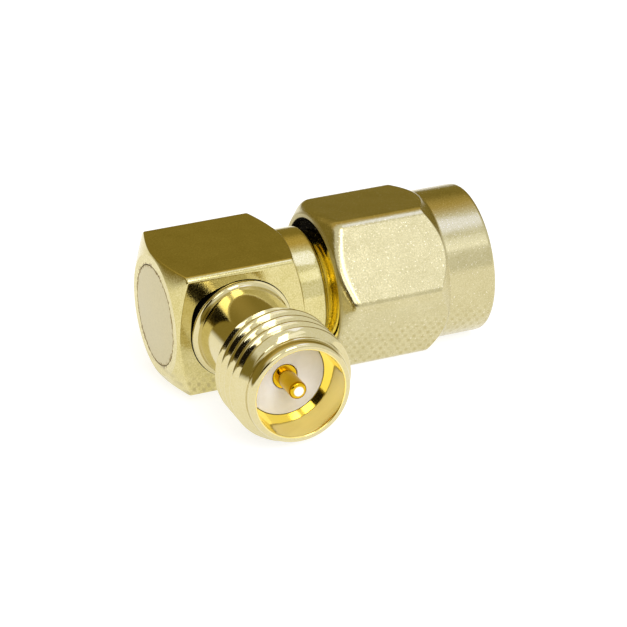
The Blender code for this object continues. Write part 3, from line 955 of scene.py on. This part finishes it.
class Tree(Wiring):
    """The nodes of one material, on Object coordinates."""

    def __init__(self, material):
        super().__init__(material)
        self.place = self.nodes.new("ShaderNodeTexCoord").outputs["Object"]

    def mapped(self, centre, direction):
        """Object coordinates with the origin on a point and Z along a direction."""
        node = self.nodes.new("ShaderNodeMapping")
        node.vector_type = "TEXTURE"
        node.inputs["Location"].default_value = centre
        turn = direction.to_track_quat("Z", "Y").to_euler()
        node.inputs["Rotation"].default_value = turn
        self.join(self.place, node.inputs["Vector"])
        return node.outputs["Vector"]

    def stretched(self, source, scale):
        node = self.nodes.new("ShaderNodeMapping")
        node.inputs["Scale"].default_value = scale
        self.join(source, node.inputs["Vector"])
        return node.outputs["Vector"]

    def noise(self, source, scale, detail=3.0, roughness=0.55):
        node = self.nodes.new("ShaderNodeTexNoise")
        node.inputs["Scale"].default_value = scale
        node.inputs["Detail"].default_value = detail
        node.inputs["Roughness"].default_value = roughness
        self.join(source, node.inputs["Vector"])
        return node.outputs["Fac"]

    def bump(self, height, depth, strength, under=None):
        node = self.nodes.new("ShaderNodeBump")
        node.inputs["Distance"].default_value = depth * MM
        node.inputs["Strength"].default_value = strength
        self.join(height, node.inputs["Height"])
        if under is not None:
            self.join(under, node.inputs["Normal"])
        return node.outputs["Normal"]

    def reach(self, source):
        """Distance from the Z axis."""
        across, along, _ = self.parts(source)
        squares = [self.math("MULTIPLY", part, part) for part in (across, along)]
        return self.math("SQRT", self.math("ADD", *squares))

    def between(self, source, low, high, fade):
        """1 between two values, falling to 0 at each over a short fade."""
        over = self.spread(source, low * MM, (low + fade) * MM, 0, 1)
        under = self.spread(source, high * MM, (high - fade) * MM, 0, 1)
        return self.math("MULTIPLY", over, under)

    def within(self, source, radius, fade):
        """1 near the Z axis, falling to 0 at a radius over a short fade."""
        return self.spread(self.reach(source), radius * MM, (radius - fade) * MM, 0, 1)

    def seam(self, local, radius):
        """An uneven dark line round the Z axis, broken here and there."""
        ragged = self.noise(self.place, SEAM_BREAKS, 3, 0.7)
        far = self.math("ABSOLUTE", self.math("SUBTRACT", self.reach(local), radius * MM))
        narrow, wide = SEAM_WIDTH
        width = self.spread(ragged, 0.44, 0.64, narrow * MM, wide * MM)
        return self.spread(self.math("DIVIDE", far, width), 1.2, 0.7, 0, 1)

    def pocket(self, local, radius, along, levels):
        """1 within a radius and a stretch of the Z axis, between two levels, or else 0."""
        stretch = self.between(self.parts(local)[2], *along, POCKET_EDGE)
        near = self.math("MULTIPLY", self.within(local, radius, POCKET_EDGE), stretch)
        level = self.parts(self.mapped(tuple(CROSSING), Vector(LEANING_BACK)))[2]
        return self.math("MULTIPLY", near, self.between(level, *levels, LEVEL_FADE))

    def wave(self, source, length):
        return self.math("SINE", self.math("MULTIPLY", source, math.tau / (length * MM)))

    def weave(self, top):
        """A slanted lattice of dimples, and the share of it left as it fades out upwards."""
        across, _, height = self.parts(self.place)
        slanted = self.math("ADD", height, self.math("MULTIPLY", across, WEAVE_SLANT))
        columns = self.wave(across, WEAVE_WIDTH)
        rows = self.wave(slanted, WEAVE_HEIGHT)
        lattice = self.math("MULTIPLY", columns, rows)
        low_down = self.spread(height, top * MM, top * 0.5 * MM, 0, 1)
        ragged = self.spread(self.noise(self.place, WEAVE_BREAKS, 2), 0.3, 0.5, 0.55, 1)
        low_down = self.math("MULTIPLY", low_down, ragged)
        dimple = self.math("MULTIPLY", self.spread(lattice, 0, 0.85, 0, 1), low_down)
        return dimple, low_down


def gold(name, axis, roughness, grain, turning=0.0, tones=BARREL_TONES, pockets=(), **extra):
    """Gold plate: patches of tone, a fine grain, and turning lines round an axis.

    Pockets are places painted with shade or with bounced light, each an axis, a radius,
    a stretch of the axis, two levels and the painted colour. Extra may hold bore, a radius
    inside which brighter gold is painted for light bounced in the bore, seam, the radius of
    a dark joint, tip, a distance past which the middle turns near-white,
    weave, the height under which the dimpled grain shows, sparkle, how much glints,
    and matt, a distance along the axis before which the finish is duller.
    """
    material, shader = shader_of(name)
    tree = Tree(material)
    local = tree.mapped(tuple(CROSSING), axis)
    patches = tree.noise(tree.place, PATCHES, 4)
    speck = tree.noise(tree.place, SPECKS, 2, 0.6)
    large = tree.math("MULTIPLY", patches, 0.3)
    small = tree.math("MULTIPLY", speck, 0.7)
    mottle = tree.math("ADD", large, small)
    tone = tree.blend(tree.spread(mottle, 0.36, 0.64, 0, 1), *tones)
    tone = local_tones(tree, local, tone, extra)
    # Pockets are painted with shade or with bounced light; the painted shade also makes the
    # plate rougher.
    tone, shade_share = pocket_tones(tree, tone, pockets)

    coarse = tree.spread(patches, 0.3, 0.7, *roughness)
    rough = tree.math("ADD", coarse, tree.spread(speck, 0.3, 0.7, -0.02, 0.03))
    if shade_share is not None:
        rough = tree.math("MAXIMUM", rough, shade_share)
    if "matt" in extra:
        edge = extra["matt"]
        along = tree.parts(local)[2]
        rear = tree.spread(along, edge * MM, (edge - MATT_FADE) * MM, 0, MATT_EXTRA)
        rough = tree.math("ADD", rough, rear)

    normal = tree.bump(speck, GRAIN_DEPTH, grain)
    if turning:
        rings = tree.noise(tree.stretched(local, TURNING_LINES), 1.0, 2)
        normal = tree.bump(rings, TURNING_DEPTH, turning, normal)
    if "weave" in extra:
        dimple, low_down = tree.weave(extra["weave"])
        normal = tree.bump(tree.math("SUBTRACT", 1, dimple), DIMPLE_DEPTH, 0.5, normal)
        tone = tree.blend(tree.math("MULTIPLY", dimple, low_down), tone, WEAVE_GOLD)
    if "sparkle" in extra:
        fine = tree.noise(tree.place, GLINTS, 1, 0.4)
        glint = tree.spread(fine, 0.66, 0.76, 0, extra["sparkle"])
        tone = tree.blend(glint, tone, GLINT_GOLD)
        normal = tree.bump(glint, GLINT_DEPTH, 0.5, normal)
    tree.join(tone, shader.inputs["Base Color"])
    shader.inputs["Metallic"].default_value = 1.0
    tree.join(rough, shader.inputs["Roughness"])
    tree.join(normal, shader.inputs["Normal"])
    return material


def local_tones(tree, local, tone, extra):
    """Painted bounce light in a bore, the dark line of a joint and a pale spot at a tip, where
    asked for.
    """
    if "bore" in extra:
        # Painted bounce light: brighter gold inside the socket.
        tone = tree.blend(tree.within(local, extra["bore"], BORE_FADE), tone, BORE_BOUNCE_GOLD)
    if "seam" in extra:
        tone = tree.blend(tree.seam(local, extra["seam"]), tone, SEAM_BROWN)
    if "tip" in extra:
        # A near-white spot in the middle of the tip's end.
        end = extra["tip"]
        near_end = tree.spread(tree.parts(local)[2], (end - TIP_SPOT_DEPTH) * MM, end * MM, 0, 1)
        middle = tree.within(local, TIP_SPOT_RADIUS, TIP_SPOT_FADE)
        tone = tree.blend(tree.math("MULTIPLY", near_end, middle), tone, TIP_SPOT_GOLD)
    return tone


def pocket_tones(tree, tone, pockets):
    """Paint shade or bounced light into the pockets, and tell where the painted shade makes
    the plate dull.
    """
    shade_share = None
    for axis, radius, along, levels, painted_colour in pockets:
        share = tree.pocket(tree.mapped(tuple(CROSSING), axis), radius, along, levels)
        # Painted shade: near-black, full well inside its pocket.
        if painted_colour is PAINTED_SHADE:
            share = tree.spread(share, 0, 0.4, 0, 1)
            shade_share = share if shade_share is None else tree.math("MAXIMUM", shade_share, share)
        tone = tree.blend(share, tone, painted_colour)
    return tone, shade_share


def mottled(name, scales, detail, tones, roughness, depth, strength):
    """Dull stuff with patches of tone and a fine grain, whose scales are a pair."""
    material, shader = shader_of(name)
    tree = Tree(material)
    mottle = tree.noise(tree.place, scales[0], detail)
    tone = tree.blend(tree.spread(mottle, 0.35, 0.65, 0, 1), *tones)
    tree.join(tone, shader.inputs["Base Color"])
    tree.join(tree.spread(mottle, 0.3, 0.7, *roughness), shader.inputs["Roughness"])
    fine = tree.noise(tree.place, scales[1], 2)
    tree.join(tree.bump(fine, depth, strength), shader.inputs["Normal"])
    return material, shader


def resin():
    """White dielectric that lets a little light in."""
    material, shader = mottled(
        "white_resin",
        (RESIN_PATCHES, RESIN_GRAIN),
        detail=4,
        tones=RESIN_TONES,
        roughness=(0.42, 0.55),
        depth=GRAIN_DEPTH,
        strength=0.4,
    )
    shader.inputs["Subsurface Weight"].default_value = 0.25
    shader.inputs["Subsurface Scale"].default_value = 0.4 * MM
    shader.inputs["Subsurface Radius"].default_value = (1.0, 0.8, 0.6)
    return material


def rubber():
    """Dark red rubber of the gasket."""
    material, _ = mottled(
        "gasket_rubber",
        (RUBBER_PATCHES, RUBBER_GRAIN),
        detail=3,
        tones=RUBBER_TONES,
        roughness=(0.5, 0.68),
        depth=RUBBER_DEPTH,
        strength=0.5,
    )
    return material


def dress(obj, material, body, node):
    """Give a piece its material and its body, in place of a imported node."""
    obj.data.materials.clear()
    obj.data.materials.append(material)
    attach(obj, body)
    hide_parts(node)


def keep(node, material):
    """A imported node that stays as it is, with a finer material."""
    data = frame["nodes"][node].data
    data.materials.clear()
    data.materials.append(material)


def make_object():
    satin = gold(
        "satin_gold_block",
        PLUG,
        roughness=(0.09, 0.14),
        grain=0.45,
        tones=BLOCK_TONES,
        # Painted shade in the gap round the jack's collar.
        pockets=[(JACK, *BLOCK_SEAT, EVERY_LEVEL, PAINTED_SHADE)],
        weave=BLOCK_WEAVE_TOP,
        seam=BLOCK_SEAM,
    )
    matt = gold(
        "matt_gold_cap",
        PLUG,
        roughness=(0.34, 0.42),
        grain=0.9,
        tones=CAP_TONES,
        seam=CAP_SEAM,
    )
    bright = gold(
        "bright_gold_barrel",
        JACK,
        roughness=(0.05, 0.1),
        grain=0.12,
        turning=0.25,
        # Painted shade at the foot of the jack's collar.
        pockets=[(JACK, *BARREL_FOOT, EVERY_LEVEL, PAINTED_SHADE)],
        # bore: brighter gold painted inside the socket for bounced light.
        bore=BORE_RADIUS,
    )
    tube = gold(
        "bright_gold_ferrule",
        PLUG,
        roughness=(0.1, 0.16),
        grain=0.2,
        turning=0.4,
        # Painted bounce light on the ferrule where it sits in the nut's recess.
        pockets=[(PLUG, *FERRULE_IN_NUT, EVERY_LEVEL, BOUNCE_LIGHT_GOLD)],
    )
    contact = gold(
        "deep_gold_contact",
        JACK,
        roughness=(0.08, 0.14),
        grain=0.2,
        turning=0.3,
        tones=CONTACT_TONES,
        # tip: the end of the pin, whose middle turns near-white.
        tip=PIN_TOP,
    )
    nut = gold(
        "satin_gold_nut",
        PLUG,
        roughness=(0.16, 0.23),
        grain=0.6,
        turning=0.2,
        tones=NUT_TONES,
        pockets=[
            # Painted bounce light all through the nut's rear recess.
            (PLUG, *NUT_RECESS, EVERY_LEVEL, BOUNCE_LIGHT_GOLD),
            # Painted shade over the recess floor, and at its mouth towards the top and back.
            (PLUG, *NUT_RECESS_FLOOR, FLOOR_SHADE_LEVELS, PAINTED_SHADE),
            (PLUG, *NUT_RECESS, MOUTH_SHADE_LEVELS, PAINTED_SHADE),
        ],
        weave=NUT_WEAVE_TOP,
        sparkle=0.5,
        matt=MATT_REAR,
    )
    white = resin()

    dress(make_block(), satin, "elbow", "elbow_body")
    dress(make_cap(), matt, "elbow", "end_cap")
    dress(make_barrel(bright), bright, "elbow", "jack_barrel")
    jack_sleeve = sleeve("jack_insulator_dressed", SOCKET_FLOOR, JACK_FRAME)
    dress(jack_sleeve, white, "elbow", "jack_insulator")
    dress(make_pin(), contact, "elbow", "jack_pin")
    dress(make_ferrule(), tube, "elbow", "plug_ferrule")
    plug_sleeve = sleeve("plug_insulator_dressed", TIP_END, PLUG_FRAME)
    dress(plug_sleeve, white, "elbow", "plug_insulator")
    dress(make_gasket(), rubber(), "elbow", "gasket")
    dress(make_nut(nut), nut, "nut", "coupling_nut")
    keep("plug_contact", contact)
    keep("retaining_ring", tube)


# Stage, lights and camera.
FLOOR_SIZE = 1.2
FLOOR_TONE = (0.42, 0.42, 0.42, 1)
FLOOR_GLOW = 0.78
LIGHT_DISTANCE = 0.5


def make_floor():
    """Pale floor under the object, bright enough to fade into the white behind."""
    size = FLOOR_SIZE
    corners = [(-size, -size, 0), (size, -size, 0), (size, size, 0), (-size, size, 0)]
    mesh = bpy.data.meshes.new("floor")
    mesh.from_pydata(corners, [], [(0, 1, 2, 3)])
    floor = bpy.data.objects.new("floor", mesh)
    bpy.context.scene.collection.objects.link(floor)
    material, shader = shader_of("pale_floor")
    shader.inputs["Base Color"].default_value = FLOOR_TONE
    shader.inputs["Roughness"].default_value = 0.9
    shader.inputs["Specular IOR Level"].default_value = 0.1
    shader.inputs["Emission Color"].default_value = (1, 1, 1, 1)
    shader.inputs["Emission Strength"].default_value = FLOOR_GLOW
    mesh.materials.append(material)


# The room's colours, and where each part of it begins and is full, by direction.
ROOM = (0.95, 0.95, 0.95)
ROOM_BACK = (0.28, 0.215, 0.05)
HIGH_BACK = (0.62, 0.47, 0.16)
ROOM_LEFT = (0.25, 0.2, 0.05)
CAMERA_SHADE = (0.27, 0.20, 0.03)
CAMERA_DARK = (0.012, 0.009, 0.005)
PAST_THE_FLOOR = (1.0, 1.0, 1.0)
CAMERA_AIM = (-0.44, -0.864, 0.242)
FROM_HIGH = (0.55, 0.85)
FROM_FLOOR = (0.0, 0.12)
FROM_BEHIND = (-0.1, 0.35)
FROM_LEFT = (-0.6, -0.78)
FROM_SHADE = (0.91, 0.95)
FROM_DARK = (0.958, 0.982)


def make_world():
    """A pale room, dim behind and to the left, with the dark of the camera in front."""
    world = bpy.data.worlds.new("studio")
    bpy.context.scene.world = world
    world.use_nodes = True
    sky = Wiring(world)
    view = sky.nodes.new("ShaderNodeTexCoord").outputs["Generated"]
    across, along, up = sky.parts(view)

    def share(source, span):
        """0 to 1 over a span, eased at both ends."""
        return sky.spread(source, *span, 0, 1, eased="SMOOTHSTEP")

    high = share(up, FROM_HIGH)
    above = share(up, FROM_FLOOR)
    behind = sky.math("MULTIPLY", share(along, FROM_BEHIND), above)
    left = sky.math("MULTIPLY", share(across, FROM_LEFT), above)
    facing = sky.nodes.new("ShaderNodeVectorMath")
    facing.operation = "DOT_PRODUCT"
    sky.join(view, facing.inputs[0])
    facing.inputs[1].default_value = CAMERA_AIM
    shade = share(facing.outputs["Value"], FROM_SHADE)
    dark = share(facing.outputs["Value"], FROM_DARK)
    path = sky.nodes.new("ShaderNodeLightPath")

    colour = sky.blend(left, ROOM, ROOM_LEFT)
    colour = sky.blend(behind, colour, sky.blend(high, ROOM_BACK, HIGH_BACK))
    colour = sky.blend(shade, colour, CAMERA_SHADE)
    colour = sky.blend(dark, colour, CAMERA_DARK)
    colour = sky.blend(path.outputs["Is Camera Ray"], colour, PAST_THE_FLOOR)
    sky.join(colour, sky.nodes["Background"].inputs["Color"])


def outward(azimuth, elevation):
    """The way out from the object, by degrees round from the front and up from the floor."""
    around, up = math.radians(azimuth), math.radians(elevation)
    level = math.cos(up)
    return Vector((math.sin(around) * level, -math.cos(around) * level, math.sin(up)))


def soft_box(name, azimuth, elevation, width, height, strength, colour):
    """Rectangular light in a direction from the object, facing it."""
    towards = outward(azimuth, elevation)
    data = bpy.data.lights.new(name, "AREA")
    data.shape = "RECTANGLE"
    data.size = width
    data.size_y = height
    data.color = colour
    data.energy = strength * width * height * math.pi
    light = bpy.data.objects.new(name, data)
    bpy.context.scene.collection.objects.link(light)
    light.location = towards * LIGHT_DISTANCE
    light.visible_camera = False
    light.rotation_euler = towards.to_track_quat("Z", "Y").to_euler()
    return light


WHITE_LIGHT = (1.0, 1.0, 1.05)
COOL_LIGHT = (0.9, 0.97, 1.35)
BORE_LIGHT = (0.9, 0.97, 1.3)
BLUE_LIGHT = (0.6, 0.72, 1.7)


def make_lights():
    """Lights by name, azimuth, elevation, width, height, strength and colour."""
    soft_box("front_box", 27, 37, 0.24, 0.15, 0.45, COOL_LIGHT)
    soft_box("tall_box", 8, 44, 0.13, 0.29, 3.0, WHITE_LIGHT)
    soft_box("small_box", -17, 28, 0.13, 0.13, 3.0, WHITE_LIGHT)
    soft_box("top_strip", 60, 63, 0.2, 0.16, 0.75, BLUE_LIGHT)
    fill = soft_box("bore_fill", -3, 36, 0.25, 0.3, 4.0, BORE_LIGHT)
    fill.visible_glossy = False


def make_camera():
    """Camera at the photograph's angle, turned by its roll about its own line of sight."""
    back = outward(CAMERA_AZIMUTH, CAMERA_ELEVATION)
    turn = back.to_track_quat("Z", "Y")
    roll = Quaternion(back, math.radians(CAMERA_ROLL))
    data = bpy.data.cameras.new("camera")
    data.lens = CAMERA_LENS
    data.sensor_width = SENSOR_WIDTH
    data.clip_start, data.clip_end = CAMERA_REACH
    camera = bpy.data.objects.new("camera", data)
    bpy.context.scene.collection.objects.link(camera)
    camera.rotation_mode = "QUATERNION"
    camera.rotation_quaternion = roll @ turn
    camera.location = Vector(CAMERA_PLACE) * MM
    bpy.context.scene.camera = camera


make_object()
make_floor()
make_world()
make_lights()
make_camera()
bpy.context.scene.view_settings.view_transform = "Standard"
